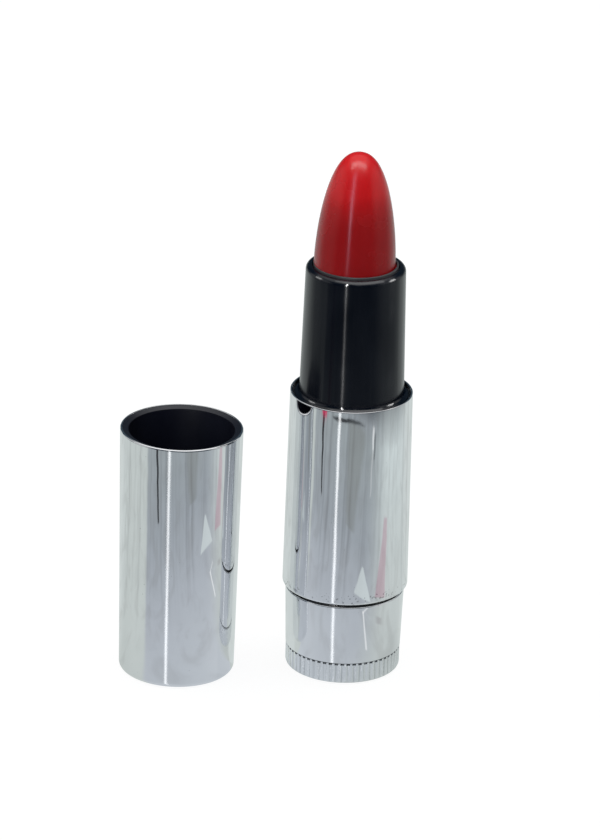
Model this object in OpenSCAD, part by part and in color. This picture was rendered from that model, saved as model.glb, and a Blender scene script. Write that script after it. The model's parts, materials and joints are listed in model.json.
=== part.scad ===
// Twist-up lipstick case, with its cap standing upside down beside it.
// Lengths are in millimetres and angles in degrees. +Z is up, and the origin is the centre of
// the case's foot, on the surface that the case stands on. The wax stands fully raised.

/* [Foot and base] */
// Outer radius of the fluted foot, over the lands
foot_r = 9.05; // [8.9:0.05:9.1]
// Height of the fluted foot
foot_h = 3.4; // [3.2:0.1:3.5]
// Number of flutes round the foot
flute_count = 60; // [40:1:64]
// Depth of each flute below the lands
flute_depth = 0.12; // [0.1:0.01:0.16]
// Radius of the base shell at its lower edge
base_low_r = 9.1; // [9.1:0.01:9.14]
// Radius of the base shell at its upper edge
base_high_r = 9.4; // [9.3:0.05:9.5]
// Height of the base shell's upper edge
base_top = 13.3; // [13.25:0.05:13.35]

/* [Sleeve] */
// Height of the gap between the base shell and the sleeve
sleeve_gap = 0.55; // [0.5:0.05:0.6]
// Radius of the sleeve at its lower edge
sleeve_low_r = 9.9; // [9.85:0.05:10]
// Radius of the sleeve at its upper lip
sleeve_high_r = 9.6; // [9.55:0.05:9.65]
// Height of the sleeve's upper lip
sleeve_top = 46.5; // [46.4:0.1:46.6]
// Wall of the sleeve shell
sleeve_wall = 0.3; // [0.25:0.01:0.3]

/* [Neck] */
// Height of the neck's rim
neck_top = 67.4; // [67.3:0.05:67.45]
// Radius of the neck just above the sleeve
neck_low_r = 8.2; // [8.1:0.05:8.2]
// Radius of the neck at its rim
neck_high_r = 7.8; // [7.7:0.05:7.9]
// Radius of the mouth that the wax rises through
mouth_r = 6.75; // [6.75:0.01:6.78]

/* [Wax] */
// Radius of the wax bullet
wax_r = 6.35; // [6.2:0.05:6.35]
// Height of the wax bullet's tip
wax_tip = 85.8; // [84:0.1:86]
// How far the exposed wax sits off the axis at the mouth
wax_shift = -0.25; // [-0.25:0.05:0]
// How far the exposed wax leans back towards the axis
wax_lean = 0.75; // [0:0.05:0.75]

/* [Mechanism] */
// Height that one turn of the cam groove lifts the cup
lead = 14; // [14:0.5:16]
// Height of the lug pins when the wax is fully raised
lug_z = 43; // [42.8:0.1:43]
// Radius of a lug pin
lug_r = 1; // [0.9:0.05:1]
// Distance that the cup travels
travel = 21; // [20:0.5:21]

/* [Cap] */
// Height of the cap
cap_h = 40.8; // [40.4:0.1:41]
// Radius of the cap at its mouth
cap_mouth_r = 9.65; // [9.6:0.01:9.7]
// Radius of the cap at its closed end
cap_end_r = 9.1; // [9.05:0.05:9.2]
// Wall of the cap shell
cap_wall = 0.35; // [0.3:0.01:0.36]
// Place of the cap's axis beside the case, along X
cap_x = -26.3; // [-30:0.1:-24]
// Place of the cap's axis beside the case, along Y
cap_y = -3.7; // [-6:0.1:0]

/* [Hidden] */
$fn = 96;
fit_gap = 0.02;          // gap between pieces that are pressed or glued together
turn_gap = 0.07;         // radial gap between pieces that turn or slide on each other
end_gap = 0.1;           // axial gap at every shoulder that turns against another
corner_steps = 8;        // straight steps in each small rounded corner

// Foot and base
foot_floor = 1;
foot_wall_r = 7.9;
foot_edge_r = 0.5;
flute_r = 0.45;
pocket_r = 0.28;
pocket_h = 0.3;
pocket_depth = 0.32;
label_r = 6.85;
label_t = 0.25;
weight_r = 6.15;
weight_top = 12;
core_bore_r = 6.2;
base_wall = 0.35;
base_edge_r = 0.2;
base_lip_r = 8.65;
hub_r = 8.6;
hub_top = base_top + sleeve_gap - end_gap;
socket_floor = 6;

// Slotted tube
tube_r = 7.85;
tube_bore_r = 7;
tube_ledge = lug_z - travel - 1.4;
slot_w = 2 * lug_r + 0.1;
slot_top = lug_z + lug_r + end_gap;
slot_low = lug_z - travel - lug_r - end_gap;
collar_r = 8.9;
collar_low = sleeve_top - 1.15;
collar_top = sleeve_top - 0.4;
foot_fillet_r = collar_r - neck_low_r;
rim_outer_round = 0.8;
rim_inner_round = 0.2;
lip_low = neck_top - 1.1;
ring_z = 17.2;
ring_section_r = 0.36;
ring_seat_h = 1;
ring_seat_r = tube_r - 0.67;

// Cam and sleeve
sleeve_low = base_top + sleeve_gap;
sleeve_edge_r = 0.4;
sleeve_curl_r = 9;
cam_bore_r = tube_r + turn_gap;
cam_top = collar_low - end_gap;
groove_r = 8.85;
groove_half = (lug_r + 0.1) / cos(atan(lead / (2 * PI * 8.4)));
groove_step = 7.5;
groove_end = 7.5;

// Cup and wax
cup_r = tube_bore_r - turn_gap;
cup_low = lug_z - 1.3;
cup_shoulder = lip_low - 0.2;
cup_rim_r = mouth_r - 0.12;
cup_rim_top = neck_top + 0.3;
cup_rim_round = 0.1;
cup_floor = 52;
cup_floor_t = 0.8;
cup_stem_bore = 5.9;
lug_reach = 8.65;
wax_shoulder = neck_top;
wax_curve = 1.76;
wax_bluntness = 2.4;
wax_steps = 36;
wax_skirt = 1;
wax_sink = 0.55;         // depth of the plug's top below the cup's rim
wax_lap = 0.1;           // overlap of the wax's plug and its point

// Cap
cap_end_t = 0.5;
cap_edge_r = 0.8;
cap_lip_outer = 0.27;
cap_lip_inner = cap_wall - cap_lip_outer;
liner_floor = 1.1;
liner_mouth_r = 8.35;
liner_mid_r = 7.95;
liner_mid_z = 19;
liner_end_r = 7.9;
liner_dish = 0.3;
rib_count = 6;
rib_r = 0.4;
rib_crest = 8.06;
rib_low = 29;
rib_top = 32.8;

// Points along a circular arc about [x, y], from angle a to angle b
function arc(x, y, r, a, b) =
    [for (i = [0 : corner_steps]) let (t = a + (b - a) * i / corner_steps)
        [x + r * cos(t), y + r * sin(t)]];

// Radius of a straight taper at height z
function taper(z, z0, r0, z1, r1) = r0 + (r1 - r0) * (z - z0) / (z1 - z0);

function base_outer(z) = taper(z, foot_h, base_low_r, base_top, base_high_r);
function sleeve_outer(z) = taper(z, sleeve_low, sleeve_low_r, sleeve_top, sleeve_high_r);
function cap_outer(z) = taper(z, 0, cap_end_r, cap_h, cap_mouth_r);

// Circle with a ring of round notches of radius notch_r, each cut to the given depth
module notched_circle(r, depth, notch_r) {
    difference() {
        circle(r = r);
        for (i = [0 : flute_count - 1])
            rotate(i * 360 / flute_count)
                translate([r - depth + notch_r, 0])
                    circle(r = notch_r);
    }
}

// Chrome foot: a shallow fluted cup with a dark pocket at the head of every flute
module fluted_foot() {
    color("silver")
    difference() {
        intersection() {
            union() {
                linear_extrude(foot_h - pocket_h)
                    notched_circle(foot_r, flute_depth, flute_r);
                translate([0, 0, foot_h - pocket_h])
                    linear_extrude(pocket_h)
                        notched_circle(foot_r, pocket_depth, pocket_r);
            }
            rotate_extrude()
                polygon(concat([[0, 0]], arc(foot_r - foot_edge_r, foot_edge_r, foot_edge_r, -90, 0),
                    [[foot_r, foot_h], [0, foot_h]]));
        }
        translate([0, 0, foot_floor])
            cylinder(r = foot_wall_r, h = foot_h);
        translate([0, 0, -1])
            cylinder(r = label_r + fit_gap, h = 1 + label_t);
    }
}

// Plain shade label, let in flush with the foot
module base_label() {
    color("whitesmoke")
    cylinder(r = label_r, h = label_t - fit_gap / 2);
}

// Steel slug that gives the case its weight
module base_weight() {
    color("dimgray")
    translate([0, 0, foot_floor + fit_gap])
        cylinder(r = weight_r, h = weight_top - foot_floor - fit_gap);
}

// Black hub that the shell, the foot and the slotted tube are pressed onto
module base_core() {
    core_top = base_top - base_wall - fit_gap;
    color("#1a1a1c")
    rotate_extrude()
        polygon([
            [core_bore_r, foot_floor + fit_gap],
            [foot_wall_r - fit_gap, foot_floor + fit_gap],
            [foot_wall_r - fit_gap, foot_h + fit_gap],
            [base_outer(foot_h) - base_wall - fit_gap, foot_h + fit_gap],
            [base_outer(core_top) - base_wall - fit_gap, core_top],
            [hub_r, core_top],
            [hub_r, hub_top],
            [tube_r + fit_gap, hub_top],
            [tube_r + fit_gap, socket_floor],
            [core_bore_r, socket_floor]]);
}

// Chrome shell of the base, turned in over the hub at its upper edge
module base_shell() {
    lip_low_z = base_top - base_wall;
    color("silver")
    rotate_extrude()
        polygon(concat(
            [[base_outer(foot_h) - base_wall, foot_h], [base_outer(foot_h) - 0.12, foot_h],
                [base_outer(foot_h), foot_h + 0.12]],
            arc(base_outer(base_top - base_edge_r) - base_edge_r, base_top - base_edge_r,
                base_edge_r, 0, 90),
            [[base_lip_r, base_top], [base_lip_r, lip_low_z],
                [base_outer(lip_low_z) - base_wall, lip_low_z]]));
}

// Black slotted tube: its upper end is the neck, and the cup slides inside it
module inner_tube() {
    color("#151518")
    difference() {
        rotate_extrude()
            polygon(concat(
                [[core_bore_r, socket_floor + fit_gap], [tube_r, socket_floor + fit_gap],
                    [tube_r, ring_z - ring_seat_h / 2], [ring_seat_r, ring_z - ring_seat_h / 2],
                    [ring_seat_r, ring_z + ring_seat_h / 2], [tube_r, ring_z + ring_seat_h / 2],
                    [tube_r, collar_low], [collar_r, collar_low]],
                arc(collar_r, collar_top + foot_fillet_r, foot_fillet_r, -90, -180),
                arc(neck_high_r - rim_outer_round, neck_top - rim_outer_round,
                    rim_outer_round, 0, 90),
                arc(mouth_r + rim_inner_round, neck_top - rim_inner_round,
                    rim_inner_round, 90, 180),
                [[mouth_r, lip_low], [tube_bore_r, lip_low], [tube_bore_r, tube_ledge],
                    [core_bore_r, tube_ledge]]));
        for (side = [0, 180])
            rotate(side)
                slot_cutter();
    }
}

// One upright slot with round ends, cut through the tube's wall on the +X side
module slot_cutter() {
    translate([tube_bore_r - 1, -slot_w / 2, slot_low + slot_w / 2])
        cube([3, slot_w, slot_top - slot_low - slot_w]);
    for (z = [slot_low + slot_w / 2, slot_top - slot_w / 2])
        translate([tube_bore_r - 1, 0, z])
            rotate([0, 90, 0])
                cylinder(r = slot_w / 2, h = 3);
}

// Silicone ring in the tube's seat, which gives the twist its smooth drag
module friction_ring() {
    color("gray")
    rotate_extrude()
        translate([ring_seat_r + ring_section_r, ring_z])
            circle(r = ring_section_r, $fn = 32);
}

// Solid that cuts one helical groove: a flat-sided strip wound along the lead
module groove_cutter() {
    low = -360 * travel / lead - groove_end;
    steps = ceil((cam_top - lug_z + 2 * groove_half) / lead * 360 / groove_step
        + (360 * travel / lead + groove_end) / groove_step);
    inner_r = cam_bore_r - 0.6;
    section = [[inner_r, -groove_half], [groove_r, -groove_half],
        [groove_r, groove_half], [inner_r, groove_half]];
    points = [for (i = [0 : steps]) let (a = low + i * groove_step)
        for (p = section) [p[0] * cos(a), p[0] * sin(a), lug_z + lead * a / 360 + p[1]]];
    sides = [for (i = [0 : steps - 1]) for (k = [0 : 3])
        let (a = 4 * i + k, b = 4 * i + (k + 1) % 4)
            for (f = [[a, b, a + 4], [b, b + 4, a + 4]]) f];
    last = 4 * steps;
    ends = [[2, 1, 0], [3, 2, 0], [last, last + 1, last + 2], [last, last + 2, last + 3]];
    polyhedron(points = points, faces = concat(sides, ends));
}

// Black cam inside the sleeve, with two helical grooves open at its upper end
module cam_tube() {
    low = sleeve_low;
    step_z = sleeve_low + sleeve_wall + fit_gap;
    inset = sleeve_wall + fit_gap;
    color("#1d1d20")
    difference() {
        rotate_extrude()
            polygon([
                [cam_bore_r, low],
                [sleeve_curl_r - fit_gap, low],
                [sleeve_curl_r - fit_gap, step_z],
                [sleeve_outer(step_z + sleeve_edge_r) - inset - 0.2, step_z],
                [sleeve_outer(step_z + sleeve_edge_r) - inset, step_z + sleeve_edge_r],
                [sleeve_outer(cam_top) - inset, cam_top],
                [cam_bore_r, cam_top]]);
        for (side = [0, 180])
            rotate(side)
                groove_cutter();
    }
}

// Chrome sleeve shell, turned in under the cam at its lower edge, with a thin rounded lip
module sleeve_shell() {
    lip_r = sleeve_wall / 2;
    curl_top = sleeve_low + sleeve_wall;
    color("silver")
    rotate_extrude()
        polygon(concat(
            [[sleeve_curl_r, sleeve_low]],
            arc(sleeve_outer(sleeve_low) - sleeve_edge_r, sleeve_low + sleeve_edge_r,
                sleeve_edge_r, -90, 0),
            arc(sleeve_outer(sleeve_top) - lip_r, sleeve_top - lip_r, lip_r, 0, 180),
            [[sleeve_outer(curl_top + sleeve_edge_r) - sleeve_wall, curl_top + sleeve_edge_r],
                [sleeve_outer(curl_top) - sleeve_wall - 0.15, curl_top],
                [sleeve_curl_r, curl_top]]));
}

// Black cup that holds the wax and is lifted by its two lugs; its thin rim rises through the mouth
module carrier_cup() {
    color("#26262a")
    union() {
        rotate_extrude()
            polygon(concat(
                [[cup_stem_bore, cup_low], [cup_r, cup_low], [cup_r, cup_shoulder - 0.15],
                    [cup_r - 0.15, cup_shoulder], [cup_rim_r, cup_shoulder]],
                arc(cup_rim_r - cup_rim_round, cup_rim_top - cup_rim_round, cup_rim_round, 0, 90),
                [[wax_r + fit_gap / 2, cup_rim_top], [wax_r + fit_gap / 2, cup_floor],
                    [0, cup_floor], [0, cup_floor - cup_floor_t],
                    [cup_stem_bore, cup_floor - cup_floor_t]]));
        for (side = [0, 180])
            rotate(side)
                translate([cup_stem_bore + 0.3, 0, lug_z])
                    rotate([0, 90, 0])
                        cylinder(r = lug_r, h = lug_reach - cup_stem_bore - 0.3);
    }
}

// Radius of the wax at a share s of the way from its shoulder to its tip
function wax_radius(s) = wax_r * pow(1 - pow(s, wax_curve), 1 / wax_bluntness);

// Red wax bullet: a plug in the cup, and a rounded point that leans a little and is trimmed to
// the cup's bore below the rim
module wax_bullet() {
    point_h = wax_tip - wax_shoulder;
    seat_z = cup_rim_top + fit_gap / 2;
    plug_top = cup_rim_top - wax_sink;
    profile = [for (i = [0 : wax_steps]) let (s = sin(90 * i / wax_steps))
        [wax_radius(s), point_h * s]];
    color("crimson")
    union() {
        translate([0, 0, cup_floor + fit_gap / 2])
            cylinder(r = wax_r, h = plug_top - cup_floor - fit_gap / 2);
        intersection() {
            translate([wax_shift, 0, wax_shoulder])
                rotate([0, wax_lean, 0])
                    rotate_extrude()
                        polygon(concat([[0, -wax_skirt], [wax_r, -wax_skirt]], profile));
            union() {
                translate([0, 0, plug_top - wax_lap])
                    cylinder(r = wax_r, h = seat_z - plug_top + 2 * wax_lap);
                translate([0, 0, seat_z])
                    cylinder(r = 2 * wax_r, h = wax_tip);
            }
        }
    }
}

// Black inner cap with a dished rim, a tapered bore and small ribs that grip the neck
module cap_liner() {
    inset = cap_wall + fit_gap;
    rim_z = cap_h - 0.1;
    color("#202023")
    translate([cap_x, cap_y, 0])
    union() {
        rotate_extrude()
            polygon(concat(
                [[0, cap_end_t + fit_gap],
                    [cap_outer(cap_end_t) - inset - 0.5, cap_end_t + fit_gap],
                    [cap_outer(1) - inset, cap_end_t + 0.5],
                    [cap_outer(rim_z) - inset, rim_z],
                    [liner_mouth_r, rim_z - liner_dish],
                    [liner_mid_r, liner_mid_z]],
                arc(liner_end_r - 0.5, liner_floor + 0.5, 0.5, 0, -90),
                [[0, liner_floor]]));
        for (i = [0 : rib_count - 1])
            rotate((i + 0.5) * 360 / rib_count)
                translate([rib_crest + rib_r, 0, rib_low])
                    cylinder(r = rib_r, h = rib_top - rib_low);
    }
}

// Chrome cap shell, closed end down, with a thin rounded lip round its mouth
module cap_shell() {
    color("silver")
    translate([cap_x, cap_y, 0])
        rotate_extrude()
            polygon(concat(
                [[0, 0]],
                arc(cap_outer(cap_edge_r) - cap_edge_r, cap_edge_r, cap_edge_r, -90, 0),
                arc(cap_outer(cap_h) - cap_lip_outer, cap_h - cap_lip_outer, cap_lip_outer, 0, 90),
                arc(cap_outer(cap_h) - cap_wall + cap_lip_inner, cap_h - cap_lip_inner,
                    cap_lip_inner, 90, 180),
                [[cap_outer(1) - cap_wall, cap_end_t + 0.45],
                    [cap_outer(cap_end_t) - cap_wall - 0.45, cap_end_t],
                    [0, cap_end_t]]));
}

fluted_foot();
base_label();
base_weight();
base_core();
base_shell();
inner_tube();
friction_ring();
cam_tube();
sleeve_shell();
carrier_cup();
wax_bullet();
cap_liner();
cap_shell();
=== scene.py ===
"""The looks of the lipstick case: materials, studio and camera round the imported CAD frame.

Lengths are metres, in the CAD's own frame: +Z up, the case's axis at X = Y = 0, the cap towards -X
and the viewer towards -Y.
"""

import json
import math

import bpy
from mathutils import Matrix, Vector


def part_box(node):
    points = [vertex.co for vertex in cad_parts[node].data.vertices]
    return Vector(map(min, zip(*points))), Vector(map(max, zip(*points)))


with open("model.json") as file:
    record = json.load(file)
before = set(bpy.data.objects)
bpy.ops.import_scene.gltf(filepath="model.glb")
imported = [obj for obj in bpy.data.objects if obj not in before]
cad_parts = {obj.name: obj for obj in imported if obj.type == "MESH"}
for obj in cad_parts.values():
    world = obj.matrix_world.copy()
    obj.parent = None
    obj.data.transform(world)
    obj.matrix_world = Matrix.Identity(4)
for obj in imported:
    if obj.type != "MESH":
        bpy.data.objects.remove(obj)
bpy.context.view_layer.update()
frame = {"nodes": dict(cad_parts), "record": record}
MM = 0.001
AROUND = 0.25  # anisotropic rotation, in turns, that draws highlights out along the axis


# ---------------------------------------------------------------- node helpers

def new_tree(name):
    """A new material, its node tree and the Principled shader in it."""
    material = bpy.data.materials.new(name)
    material.use_nodes = True
    tree = material.node_tree
    return material, tree, tree.nodes["Principled BSDF"]


def add(tree, kind, inputs=None, **settings):
    """A node of one kind; inputs are values or sockets by socket name or number."""
    node = tree.nodes.new("ShaderNode" + kind)
    for key, value in settings.items():
        setattr(node, key, value)
    for key, value in (inputs or {}).items():
        if isinstance(value, bpy.types.NodeSocket):
            tree.links.new(value, node.inputs[key])
        else:
            node.inputs[key].default_value = value
    return node


def place(tree, stretch=(1, 1, 1)):
    """Object coordinates, stretched."""
    coords = add(tree, "TexCoord")
    mapping = add(tree, "Mapping", {"Vector": coords.outputs["Object"], "Scale": stretch})
    return mapping.outputs["Vector"]


def noise(tree, size, detail=3, stretch=(1, 1, 1), distortion=0.0):
    """Noise from 0 to 1 whose blobs are about size metres across."""
    texture = add(tree, "TexNoise", {
        "Vector": place(tree, stretch),
        "Scale": 1 / size,
        "Detail": detail,
        "Distortion": distortion,
    })
    return texture.outputs["Fac"]


def spread(tree, value, low, high, out_low=0.0, out_high=1.0, kind="SMOOTHSTEP"):
    """value mapped from low..high to out_low..out_high, with soft ends."""
    ramp = add(tree, "MapRange", {
        "Value": value, "From Min": low, "From Max": high,
        "To Min": out_low, "To Max": out_high,
    }, interpolation_type=kind)
    return ramp.outputs["Result"]


def maths(tree, operation, a, b=0.0):
    """One arithmetic operation on numbers or sockets."""
    return add(tree, "Math", {0: a, 1: b}, operation=operation).outputs["Value"]


def band(tree, value, centre, half_width, softness):
    """1 within half_width of centre, falling to 0 over softness."""
    off = maths(tree, "ABSOLUTE", maths(tree, "SUBTRACT", value, centre))
    return spread(tree, off, half_width, half_width + softness, 1.0, 0.0)


def blend_colour(tree, share, a, b):
    """Colour a where share is 0 and colour b where it is 1."""
    mix = add(tree, "Mix", {"Factor": share}, data_type="RGBA")
    for key, value in (("A", a), ("B", b)):
        socket = next(s for s in mix.inputs if s.name == key and s.type == "RGBA")
        if isinstance(value, bpy.types.NodeSocket):
            tree.links.new(value, socket)
        else:
            socket.default_value = (*value, 1)
    return next(s for s in mix.outputs if s.type == "RGBA")


def bump(tree, height, distance, after=None):
    """Normal of a relief that is distance metres high, on top of another normal if there is one."""
    inputs = {"Height": height, "Distance": distance, "Strength": 1.0}
    if after is not None:
        inputs["Normal"] = after
    return add(tree, "Bump", inputs).outputs["Normal"]


def finish_shader(tree, shader, values, links):
    """Sets the shader's own sockets, then links the ones that vary over the surface."""
    for key, value in values.items():
        shader.inputs[key].default_value = value
    for key, socket in links.items():
        tree.links.new(socket, shader.inputs[key])


# ---------------------------------------------------------------- materials

def radius_and_height(tree):
    """Distance from the case's axis, and height, of a point in the shared frame."""
    axes = add(tree, "SeparateXYZ", {"Vector": place(tree)})
    flat = add(tree, "CombineXYZ", {"X": axes.outputs["X"], "Y": axes.outputs["Y"]})
    radius = add(tree, "VectorMath", {0: flat.outputs["Vector"]}, operation="LENGTH")
    return radius.outputs["Value"], axes.outputs["Z"]


def chrome(name, tint, gloss=0.025, turned=0.3, recess=None, worn_edge=None):
    """Vacuum chrome under clear lacquer: smudged, slightly wavy and with pinholes.

    worn_edge is the height of an edge with specks of wear above it. recess is the radius and height of
    the fluted foot's pockets: the pockets get painted shade, and the flutes below them are scored, with
    painted shade in their valleys.
    """
    material, tree, shader = new_tree(name)
    smudge = noise(tree, 9 * MM, 4, distortion=0.6)
    speck = noise(tree, 0.5 * MM, 2)
    rough = spread(tree, smudge, 0.35, 0.75, gloss, gloss + 0.03)
    cloudy = spread(tree, smudge, 0.3, 0.8)
    colour = blend_colour(tree, cloudy, tint, tuple(0.93 * c for c in tint))
    radius, height = radius_and_height(tree)
    dots = noise(tree, 0.4 * MM, 1)
    if worn_edge is not None:
        wear = band(tree, height, worn_edge + 0.6 * MM, 0.5 * MM, 1.2 * MM)
        wear = maths(tree, "MULTIPLY", wear, noise(tree, 6 * MM, 1))
        wear = maths(tree, "MULTIPLY", wear, spread(tree, radius, 10.5 * MM, 11 * MM, 1.0, 0.0))
        dots = maths(tree, "ADD", dots, maths(tree, "MULTIPLY", wear, 0.35))
    pinholes = spread(tree, dots, 0.79, 0.82, 0.0, 0.5)
    colour = blend_colour(tree, pinholes, colour, (0.10, 0.10, 0.10))
    if recess is not None:
        painted_shade = spread(tree, radius, recess[0] - 0.03 * MM, recess[0], 1.0, 0.0)
        above = spread(tree, height, recess[1] + 0.05 * MM, recess[1] + 0.12 * MM)
        scores = noise(tree, 0.35 * MM, 2, stretch=(1, 1, 0.06))
        # Painted shade in the flute valleys, darker where they are deepest, broken up by the scores.
        valley_shade = spread(tree, radius, recess[0] - 0.10 * MM, recess[0] - 0.03 * MM, 0.5, 0.0)
        valley_shade = maths(tree, "MULTIPLY", valley_shade, spread(tree, scores, 0.35, 0.65))
        colour = blend_colour(tree, valley_shade, colour, (0.42, 0.43, 0.44))
        # Painted shade: the pockets are darkened almost to black.
        colour = blend_colour(tree, maths(tree, "MULTIPLY", painted_shade, above), colour, (0.03, 0.03, 0.03))
    wavy = noise(tree, 7 * MM, 1, stretch=(1, 1, 0.45))
    normal = bump(tree, wavy, 0.08 * MM)
    normal = bump(tree, speck, 0.0002 * MM, after=normal)
    if recess is not None:
        normal = bump(tree, scores, 0.15 * MM, after=normal)
    tangent = add(tree, "Tangent", direction_type="RADIAL", axis="Z").outputs["Tangent"]
    finish_shader(tree, shader, {
        "Metallic": 1.0,
        "Anisotropic": turned,
        "Anisotropic Rotation": AROUND,
        "Coat Weight": 1.0,
        "Coat Roughness": 0.02,
        "Coat IOR": 1.5,
    }, {
        "Base Color": colour,
        "Roughness": rough,
        "Normal": normal,
        "Coat Normal": normal,
        "Tangent": tangent,
    })
    return material


def black_plastic(name, colour, gloss, grain=0.0, turned=0.0):
    """Moulded black plastic: glossy with faint flow marks, or satin with a fine grain."""
    material, tree, shader = new_tree(name)
    marks = noise(tree, 6 * MM, 3, stretch=(1, 1, 0.5))
    dust = noise(tree, 0.35 * MM, 2)
    rough = spread(tree, marks, 0.3, 0.75, gloss, gloss + 0.08)
    shade = blend_colour(tree, spread(tree, marks, 0.3, 0.8), colour, tuple(1.35 * c for c in colour))
    normal = bump(tree, marks, 0.02 * MM)
    normal = bump(tree, dust, (0.001 + grain) * MM, after=normal)
    tangent = add(tree, "Tangent", direction_type="RADIAL", axis="Z").outputs["Tangent"]
    finish_shader(tree, shader, {
        "Anisotropic": turned,
        "Anisotropic Rotation": AROUND,
        "IOR": 1.5,
    }, {
        "Base Color": shade,
        "Roughness": rough,
        "Normal": normal,
        "Tangent": tangent,
    })
    return material


def red_wax(name):
    """Lipstick wax: deep red, softly glossy, with light that sinks in under the surface, and painted
    shade that darkens its colour towards the foot.
    """
    material, tree, shader = new_tree(name)
    flow = noise(tree, 5 * MM, 3)
    grain = noise(tree, 0.25 * MM, 3)
    _, height = radius_and_height(tree)
    satin = spread(tree, height, wax_high.z - 9 * MM, wax_high.z - 4 * MM, 0.9, 0.0)
    # Painted shade and light: the base colour darkens towards the wax's foot and brightens towards its
    # tip, by height.
    painted_shade = spread(tree, height, wax_high.z - 10.5 * MM, wax_high.z - 2.5 * MM, 0.63, 1.16)
    painted_shade = maths(tree, "MULTIPLY", painted_shade, spread(tree, flow, 0.2, 0.8, 0.95, 1.05))
    colour = blend_colour(tree, painted_shade, (0.0, 0.0, 0.0), (0.53, 0.008, 0.010))
    rough = spread(tree, flow, 0.3, 0.7, 0.24, 0.28)
    normal = bump(tree, flow, 0.03 * MM)
    normal = bump(tree, grain, 0.0005 * MM, after=normal)
    finish_shader(tree, shader, {
        "Subsurface Weight": 0.25,
        "Subsurface Radius": (1.0, 0.18, 0.12),
        "Subsurface Scale": 2.5 * MM,
        "Anisotropic Rotation": AROUND,
        "IOR": 1.42,
    }, {
        "Anisotropic": satin,
        "Base Color": colour,
        "Roughness": rough,
        "Normal": normal,
        "Tangent": add(tree, "Tangent", direction_type="RADIAL", axis="Z").outputs["Tangent"],
    })
    return material


def turned_steel(name, colour, gloss):
    """Zinc-plated steel with fine turning marks round it."""
    material, tree, shader = new_tree(name)
    marks = noise(tree, 1.5 * MM, 4, stretch=(1, 1, 6))
    rough = spread(tree, marks, 0.3, 0.7, gloss, gloss + 0.15)
    shade = blend_colour(tree, marks, colour, tuple(0.8 * c for c in colour))
    finish_shader(tree, shader, {"Metallic": 1.0}, {
        "Base Color": shade,
        "Roughness": rough,
        "Normal": bump(tree, marks, 0.01 * MM),
    })
    return material


def matt_sheet(name, colour):
    """Matt paper or silicone with a fine uneven grain."""
    material, tree, shader = new_tree(name)
    fibre = noise(tree, 0.4 * MM, 5)
    shade = blend_colour(tree, fibre, colour, tuple(0.93 * c for c in colour))
    finish_shader(tree, shader, {}, {
        "Base Color": shade,
        "Roughness": spread(tree, fibre, 0.3, 0.7, 0.6, 0.75),
        "Normal": bump(tree, fibre, 0.01 * MM),
    })
    return material


foot_high = Vector(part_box("fluted_foot")[1])
sleeve_low = Vector(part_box("sleeve_shell")[0])
wax_high = Vector(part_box("wax_bullet")[1])
POCKET = (foot_high.x - 0.02 * MM, foot_high.z - 0.3 * MM)
MATERIALS = {
    "shell_chrome": chrome("shell_chrome", (0.88, 0.89, 0.905), worn_edge=sleeve_low.z),
    "fluted_chrome": chrome("fluted_chrome", (0.88, 0.895, 0.91), 0.18, turned=0.0, recess=POCKET),
    "neck_plastic": black_plastic("neck_plastic", (0.0, 0.0008, 0.0032), 0.12, turned=1.0),
    "core_plastic": black_plastic("core_plastic", (0.002, 0.003, 0.005), 0.25),
    "liner_plastic": black_plastic("liner_plastic", (0.002, 0.0025, 0.006), 0.30, grain=0.001),
    "cup_plastic": black_plastic("cup_plastic", (0.02, 0.02, 0.022), 0.45, grain=0.003),
    "ring_silicone": matt_sheet("ring_silicone", (0.45, 0.45, 0.45)),
    "slug_steel": turned_steel("slug_steel", (0.45, 0.45, 0.46), 0.3),
    "label_paper": matt_sheet("label_paper", (0.86, 0.85, 0.83)),
    "red_wax": red_wax("red_wax"),
}

for part in frame["record"]["subparts"]:
    node_object = frame["nodes"][part["node"]]
    for material_slot in node_object.material_slots:
        material_slot.material = MATERIALS[part["material_slot"]]


# ---------------------------------------------------------------- studio

scene = bpy.context.scene
STAGE_SIDES = 96
FLOOR_RADIUS = 20.0
FLOOR_DROP = 0.1 * MM
FLOOR_GLOW = 0.88
WALL_RADIUS = 3.5
WALL_HEIGHT = 2.5
REFLECTION_FLOOR_MIDDLE = Vector((-13 * MM, -2 * MM, -1 * MM))
REFLECTION_FLOOR_GLOSS = (0.05, 0.05, 0.05, 1)
MARK_SOFTNESS = 0.8 * MM
CAMERA_ELEVATION = 22.4873
STRIP_DISTANCE = 1.0
BOX_DISTANCE = 0.8
OBJECT_MIDDLE = Vector((0, 0, 0.05))


def compass(azimuth, elevation=0.0):
    """Direction from the object: azimuth 0 is towards the viewer and 90 towards +X."""
    a = math.radians(azimuth)
    e = math.radians(elevation)
    return Vector((math.sin(a) * math.cos(e), -math.cos(a) * math.cos(e), math.sin(e)))


def stage_ring(radius):
    """Corners of a level ring round the origin."""
    return [radius * compass(360 * i / STAGE_SIDES) for i in range(STAGE_SIDES)]


def stage_object(name, points, faces, material):
    """A mesh that belongs to the stage, not to the lipstick case."""
    mesh = bpy.data.meshes.new(name)
    mesh.from_pydata([tuple(p) for p in points], [], faces)
    mesh.materials.append(material)
    piece = bpy.data.objects.new(name, mesh)
    scene.collection.objects.link(piece)
    return piece


def stage_disc(name, place_at, material):
    """A level disc for the case to stand on."""
    disc = stage_object(name, stage_ring(FLOOR_RADIUS), [tuple(range(STAGE_SIDES))], material)
    disc.location = place_at
    return disc


def backdrop(name, material):
    """A round wall about the stage, from the floor up."""
    ring = stage_ring(WALL_RADIUS)
    points = ring + [p + Vector((0, 0, WALL_HEIGHT)) for p in ring]
    faces = []
    for i in range(STAGE_SIDES):
        j = (i + 1) % STAGE_SIDES
        faces.append((i, j, STAGE_SIDES + j, STAGE_SIDES + i))
    return stage_object(name, points, faces, material)
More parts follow.
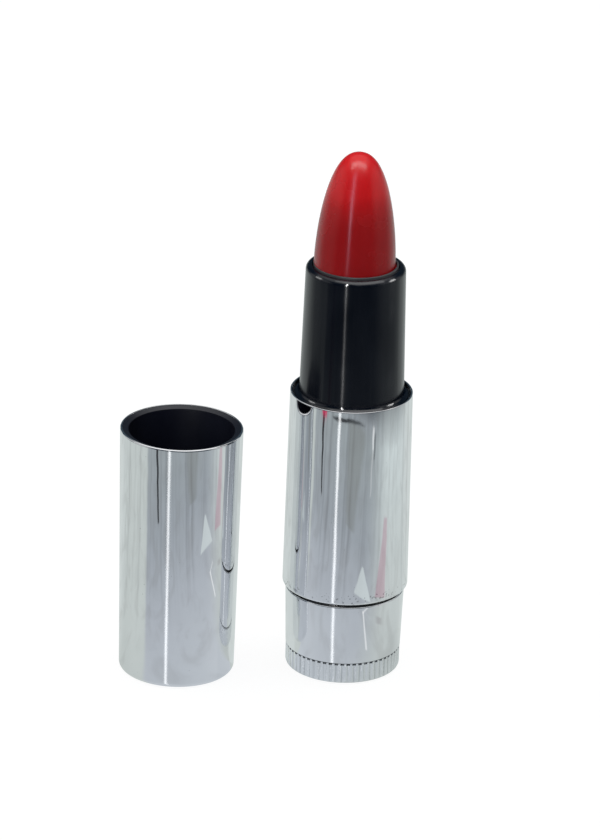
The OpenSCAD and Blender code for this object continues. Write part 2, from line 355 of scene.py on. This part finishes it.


# The glowing colours of the reflection floor, painted to stand for the room in reflections, by distance
# in metres from the middle between both pieces
FRONT_FLOOR = (
    (0.0, (0.56, 0.60, 0.64)),
    (0.045, (0.46, 0.495, 0.54)),
    (0.075, (0.36, 0.395, 0.43)),
    (0.120, (0.35, 0.39, 0.405)),
    (0.128, (0.34, 0.375, 0.40)),
    (0.140, (0.05, 0.06, 0.07)),
    (0.4, (0.02, 0.025, 0.035)),
)
LEFT_FLOOR = (
    (0.0, (0.56, 0.605, 0.59)),
    (0.12, (0.56, 0.61, 0.595)),
    (0.145, (0.18, 0.20, 0.21)),
    (0.4, (0.14, 0.16, 0.17)),
)
RIGHT_FLOOR = (
    (0.0, (0.51, 0.55, 0.545)),
    (0.06, (0.57, 0.62, 0.61)),
    (0.12, (0.63, 0.70, 0.70)),
    (0.145, (0.20, 0.22, 0.23)),
    (0.4, (0.15, 0.17, 0.18)),
)
BACK_FLOOR = (0.64, 0.69, 0.68)

# Painted reflections: marks painted on the glowing reflection floor that show as lines and spots in the
# chrome. Each is given by where the camera sees it: a wall, then its end that is nearer on the floor and
# its far end, each with an angle round the wall and a half width in degrees and a height in millimetres.
# Then come its softness in degrees of azimuth on the floor, its strength and its colour. A wall is its
# node and its lean inwards in degrees.
SLEEVE = ("sleeve_shell", 0.53)
BASE = ("base_shell", -1.76)
BLACK = (0.01, 0.01, 0.012)
GREY = (0.20, 0.21, 0.195)
WHITE = (0.90, 0.92, 0.93)
PALE = (0.70, 0.77, 0.77)
PINK = (0.46, 0.19, 0.28)
RED = (0.62, 0.04, 0.12)
ROSE = (0.20, 0.16, 0.18)
PAINTED_REFLECTION_MARKS = (
    (SLEEVE, (2.3, 1.6, 25.7), (6.2, 6.3, 42.9), 7.0, 0.40, GREY),
    (SLEEVE, (-25.8, 0.3, 31.5), (-25.9, 0.8, 46.9), 0.8, 0.90, BLACK),
    (SLEEVE, (-25.4, 1.7, 45.3), (-25.4, 1.8, 46.9), 2.0, 0.85, RED),
    (SLEEVE, (-14.5, 2.9, 44.7), (9.9, 3.4, 43.6), 2.0, 0.95, BLACK),
    (SLEEVE, (34.4, 4.4, 13.5), (38.1, 0.9, 26.1), 3.0, 0.42, PINK),
    (SLEEVE, (16.2, 8.0, 13.9), (16.2, 0.2, 18.9), 2.0, 0.65, PALE),
    (SLEEVE, (21.7, 0.3, 39.1), (22.2, 0.8, 42.6), 1.0, 0.70, WHITE),
    (SLEEVE, (20.9, 0.2, 31.3), (21.7, 0.3, 39.1), 1.0, 0.25, WHITE),
    (SLEEVE, (23.2, 0.2, 37.4), (24.0, 0.6, 41.6), 1.4, 0.45, BLACK),
    (BASE, (24.4, 0.7, 5.3), (19.0, 0.4, 11.3), 1.0, 0.70, WHITE),
    (BASE, (19.0, 0.4, 11.3), (23.5, 0.4, 12.1), 1.0, 0.60, WHITE),
    (BASE, (36.9, 0.6, 9.4), (36.9, 0.6, 10.1), 7.0, 0.30, ROSE),
)


def mirrored(wall, angle, height):
    """Azimuth in degrees and distance in metres, on the painted reflection floor, of what a wall shows
    at a place.

    Seen from above, a line of sight that meets the wall at an angle turns off by twice that angle. A
    wall that leans in sends it on less steeply, by twice the lean.
    """
    node, lean = wall
    low, high = (Vector(corner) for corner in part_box(node))
    axis = (low + high) / 2
    radius = (high.x - low.x) / 2
    drop = math.radians(CAMERA_ELEVATION - 2 * lean)
    reach = (height * MM - REFLECTION_FLOOR_MIDDLE.z) / math.tan(drop)
    place_at = axis + radius * compass(angle) + reach * compass(2 * angle) - REFLECTION_FLOOR_MIDDLE
    return math.degrees(math.atan2(place_at.x, -place_at.y)), place_at.xy.length


def mark_end(wall, angle, half_width, height):
    """Azimuth, half width in degrees and distance of one end of a mark."""
    left, _ = mirrored(wall, angle - half_width, height)
    right, _ = mirrored(wall, angle + half_width, height)
    _, distance = mirrored(wall, angle, height)
    return (left + right) / 2, (right - left) / 2, distance


def pale_material():
    """The pale floor and wall that the camera sees."""
    material, tree, shader = new_tree("pale_floor")
    finish_shader(tree, shader, {
        "Base Color": (0.25, 0.25, 0.25, 1),
        "Roughness": 0.9,
        "Specular IOR Level": 0.0,
        "Emission Color": (1, 1, 1, 1),
        "Emission Strength": FLOOR_GLOW,
    }, {})
    return material


def azimuth_of(tree, vector):
    """Compass azimuth of a vector in degrees."""
    axes = add(tree, "SeparateXYZ", {"Vector": vector})
    forward = maths(tree, "MULTIPLY", axes.outputs["Y"], -1.0)
    return maths(tree, "DEGREES", maths(tree, "ARCTAN2", axes.outputs["X"], forward))


def falloff(tree, distance, steps):
    """Colour by distance from the object, through a list of (metres, colour)."""
    reach = steps[-1][0]
    share = maths(tree, "DIVIDE", distance, reach)
    ramp = add(tree, "ValToRGB", {"Fac": share})
    elements = ramp.color_ramp.elements
    while len(elements) < len(steps):
        elements.new(1.0)
    for element, (metres, colour) in zip(elements, steps):
        element.position = metres / reach
        element.color = (*colour, 1)
    return ramp.outputs["Color"]


def painted_reflection_mark(tree, degrees, distance, colour, mark):
    """The reflection floor's colour with one painted reflection mark laid over it."""
    wall, near_end, far_end, softness, strength, tint = mark
    near_azimuth, near_width, near = mark_end(wall, *near_end)
    far_azimuth, far_width, far = mark_end(wall, *far_end)
    centre = spread(tree, distance, near, far, near_azimuth, far_azimuth, kind="LINEAR")
    width = spread(tree, distance, near, far, near_width, far_width, kind="LINEAR")
    off = maths(tree, "ABSOLUTE", maths(tree, "SUBTRACT", degrees, centre))
    outside = maths(tree, "SUBTRACT", off, width)
    across = spread(tree, outside, 0.0, softness, strength, 0.0)
    along = band(tree, distance, (near + far) / 2, (far - near) / 2, MARK_SOFTNESS)
    return blend_colour(tree, maths(tree, "MULTIPLY", across, along), colour, tint)


def painted_reflection_material():
    """A glowing floor painted with reflections, which the object reflects: pale at the sides, darker
    towards the viewer and far off.
    """
    material, tree, shader = new_tree("painted_reflection_floor")
    tree.nodes.remove(shader)
    coords = add(tree, "TexCoord").outputs["Object"]
    distance = add(tree, "VectorMath", {0: coords}, operation="LENGTH").outputs["Value"]
    waver = add(tree, "TexNoise", {"W": distance, "Scale": 70.0, "Detail": 2.0}, noise_dimensions="1D")
    swing = spread(tree, waver.outputs["Fac"], 0.2, 0.8, -0.9, 0.9, kind="LINEAR")
    degrees = maths(tree, "ADD", azimuth_of(tree, coords), swing)
    left = spread(tree, degrees, -66, -61, 1.0, 0.0)
    right = spread(tree, degrees, 40, 80)
    back = spread(tree, maths(tree, "ABSOLUTE", degrees), 95, 130)
    colour = falloff(tree, distance, FRONT_FLOOR)
    colour = blend_colour(tree, left, colour, falloff(tree, distance, LEFT_FLOOR))
    colour = blend_colour(tree, right, colour, falloff(tree, distance, RIGHT_FLOOR))
    colour = blend_colour(tree, back, colour, BACK_FLOOR)
    # Painted reflections: dark streaks fanning round the floor, and soft brownish smudges.
    streak = add(tree, "TexNoise", {"W": degrees, "Scale": 0.12, "Detail": 1.5}, noise_dimensions="1D")
    patch = noise(tree, 20 * MM, 3, distortion=1.5)
    lines = spread(tree, streak.outputs["Fac"], 0.45, 0.75, 0.0, 0.35)
    lines = maths(tree, "MULTIPLY", lines, spread(tree, distance, 0.03, 0.075))
    lines = maths(tree, "MULTIPLY", lines, spread(tree, degrees, 25, 55, 1.0, 0.4))
    lines = maths(tree, "MULTIPLY", lines, spread(tree, degrees, -66, -58, 0.5, 1.0))
    colour = blend_colour(tree, lines, colour, (0.1, 0.1, 0.11))
    colour = blend_colour(tree, spread(tree, patch, 0.45, 0.7, 0.0, 0.15), colour, (0.17, 0.16, 0.15))
    for mark in PAINTED_REFLECTION_MARKS:
        colour = painted_reflection_mark(tree, degrees, distance, colour, mark)
    glow = add(tree, "Emission", {"Color": colour, "Strength": 1.0})
    polish = add(tree, "BsdfGlossy", {"Color": REFLECTION_FLOOR_GLOSS, "Roughness": 0.19})
    both = add(tree, "AddShader", {0: glow.outputs["Emission"], 1: polish.outputs["BSDF"]})
    tree.links.new(both.outputs["Shader"], tree.nodes["Material Output"].inputs["Surface"])
    return material


def area_light(name, place_at, aim_at, width, height, power, colour=(1, 1, 1)):
    """A rectangular light that faces aim_at and that the camera doesn't see."""
    data = bpy.data.lights.new(name, "AREA")
    data.shape = "RECTANGLE"
    data.size = width
    data.size_y = height
    data.energy = power
    data.color = colour
    light = bpy.data.objects.new(name, data)
    turn = (aim_at - place_at).to_track_quat("-Z", "Y").to_matrix().to_4x4()
    light.matrix_world = Matrix.Translation(place_at) @ turn
    light.visible_camera = False
    scene.collection.objects.link(light)
    return light


def only_on(light, objects):
    """The light reaches only these objects."""
    receivers = bpy.data.collections.new(light.name + "_receivers")
    for o in objects:
        receivers.objects.link(o)
    light.light_linking.receiver_collection = receivers


def strip_light(name, azimuth, width, height, lift, power, colour=(1, 1, 1)):
    """An upright strip that faces the case's axis, lift metres above the floor at its middle."""
    raised = Vector((0, 0, lift))
    place_at = raised + STRIP_DISTANCE * compass(azimuth)
    return area_light(name, place_at, raised, width, height, power, colour)


def soft_box(name, azimuth, elevation, width, height, power):
    """A light that faces the object's middle from a direction."""
    place_at = OBJECT_MIDDLE + BOX_DISTANCE * compass(azimuth, elevation)
    return area_light(name, place_at, OBJECT_MIDDLE, width, height, power)


def studio_world():
    """A dark room with a bright ceiling and bright side walls, seen in reflections only."""
    world = bpy.data.worlds.new("studio")
    scene.world = world
    world.use_nodes = True
    tree = world.node_tree
    axes = add(tree, "SeparateXYZ", {"Vector": add(tree, "TexCoord").outputs["Generated"]})
    ceiling = spread(tree, axes.outputs["Z"], 0.55, 0.85)
    sideways = maths(tree, "ABSOLUTE", axes.outputs["X"])
    walls = spread(tree, sideways, 0.72, 0.92)
    ceiling = maths(tree, "MULTIPLY", ceiling, 1.05)
    level = maths(tree, "MAXIMUM", ceiling, maths(tree, "MULTIPLY", walls, 0.62))
    colour = blend_colour(tree, level, (0.045, 0.065, 0.085), (1.0, 1.0, 1.0))
    tree.links.new(colour, tree.nodes["Background"].inputs["Color"])


studio_world()
pale = pale_material()
floor = stage_disc("floor", (0, 0, -FLOOR_DROP), pale)
wall = backdrop("backdrop", pale)
for o in (floor, wall):
    o.visible_glossy = False
    o.visible_diffuse = False
wall.visible_shadow = False

# A glowing floor painted with reflections, which reflections see and nothing else does
reflection_sheet = stage_disc("painted_reflection_floor", REFLECTION_FLOOR_MIDDLE, painted_reflection_material())
reflection_sheet.visible_camera = False
reflection_sheet.visible_shadow = False
reflection_sheet.visible_diffuse = False

WAX = [frame["nodes"]["wax_bullet"]]
BLACKS = [o for o in frame["nodes"].values() if "plastic" in o.material_slots[0].material.name]
only_on(strip_light("table_strip", -21, 0.07, 1.6, 0.82, 6.5), [reflection_sheet])
only_on(strip_light("wax_strip", -20, 0.09, 0.9, 0.5, 2.4, (0.85, 0.75, 1.0)), WAX)
only_on(strip_light("neck_strip", -20, 0.018, 0.9, 0.5, 8.0), BLACKS)
only_on(soft_box("rim_box", 40, 74, 1.0, 1.0, 6.0), BLACKS)
only_on(soft_box("right_box", 95, 22, 0.22, 0.22, 2.2), BLACKS)
only_on(soft_box("left_box", -95, 22, 0.22, 0.22, 1.0), BLACKS)
only_on(soft_box("wax_box", -5, 70, 1.1, 0.35, 5.5), WAX)


# ---------------------------------------------------------------- camera

CAMERA_LENS = 250.0
CAMERA_TARGET = Vector((-0.00791, -0.00464, 0.04300))
CAMERA_DISTANCE = 0.90852
CAMERA_ROLL = math.radians(1.854)

camera_data = bpy.data.cameras.new("camera")
camera_data.lens = CAMERA_LENS
camera_data.clip_start = 0.01
camera_data.clip_end = 100
camera = bpy.data.objects.new("camera", camera_data)
scene.collection.objects.link(camera)
back = compass(0, CAMERA_ELEVATION)
right = Vector((1, 0, 0))
up = back.cross(right)
roll_right = math.cos(CAMERA_ROLL) * right + math.sin(CAMERA_ROLL) * up
roll_up = math.cos(CAMERA_ROLL) * up - math.sin(CAMERA_ROLL) * right
camera.matrix_world = Matrix.Translation(CAMERA_TARGET + CAMERA_DISTANCE * back) @ Matrix(
    (roll_right, roll_up, back)).transposed().to_4x4()
scene.camera = camera
scene.view_settings.view_transform = "Standard"
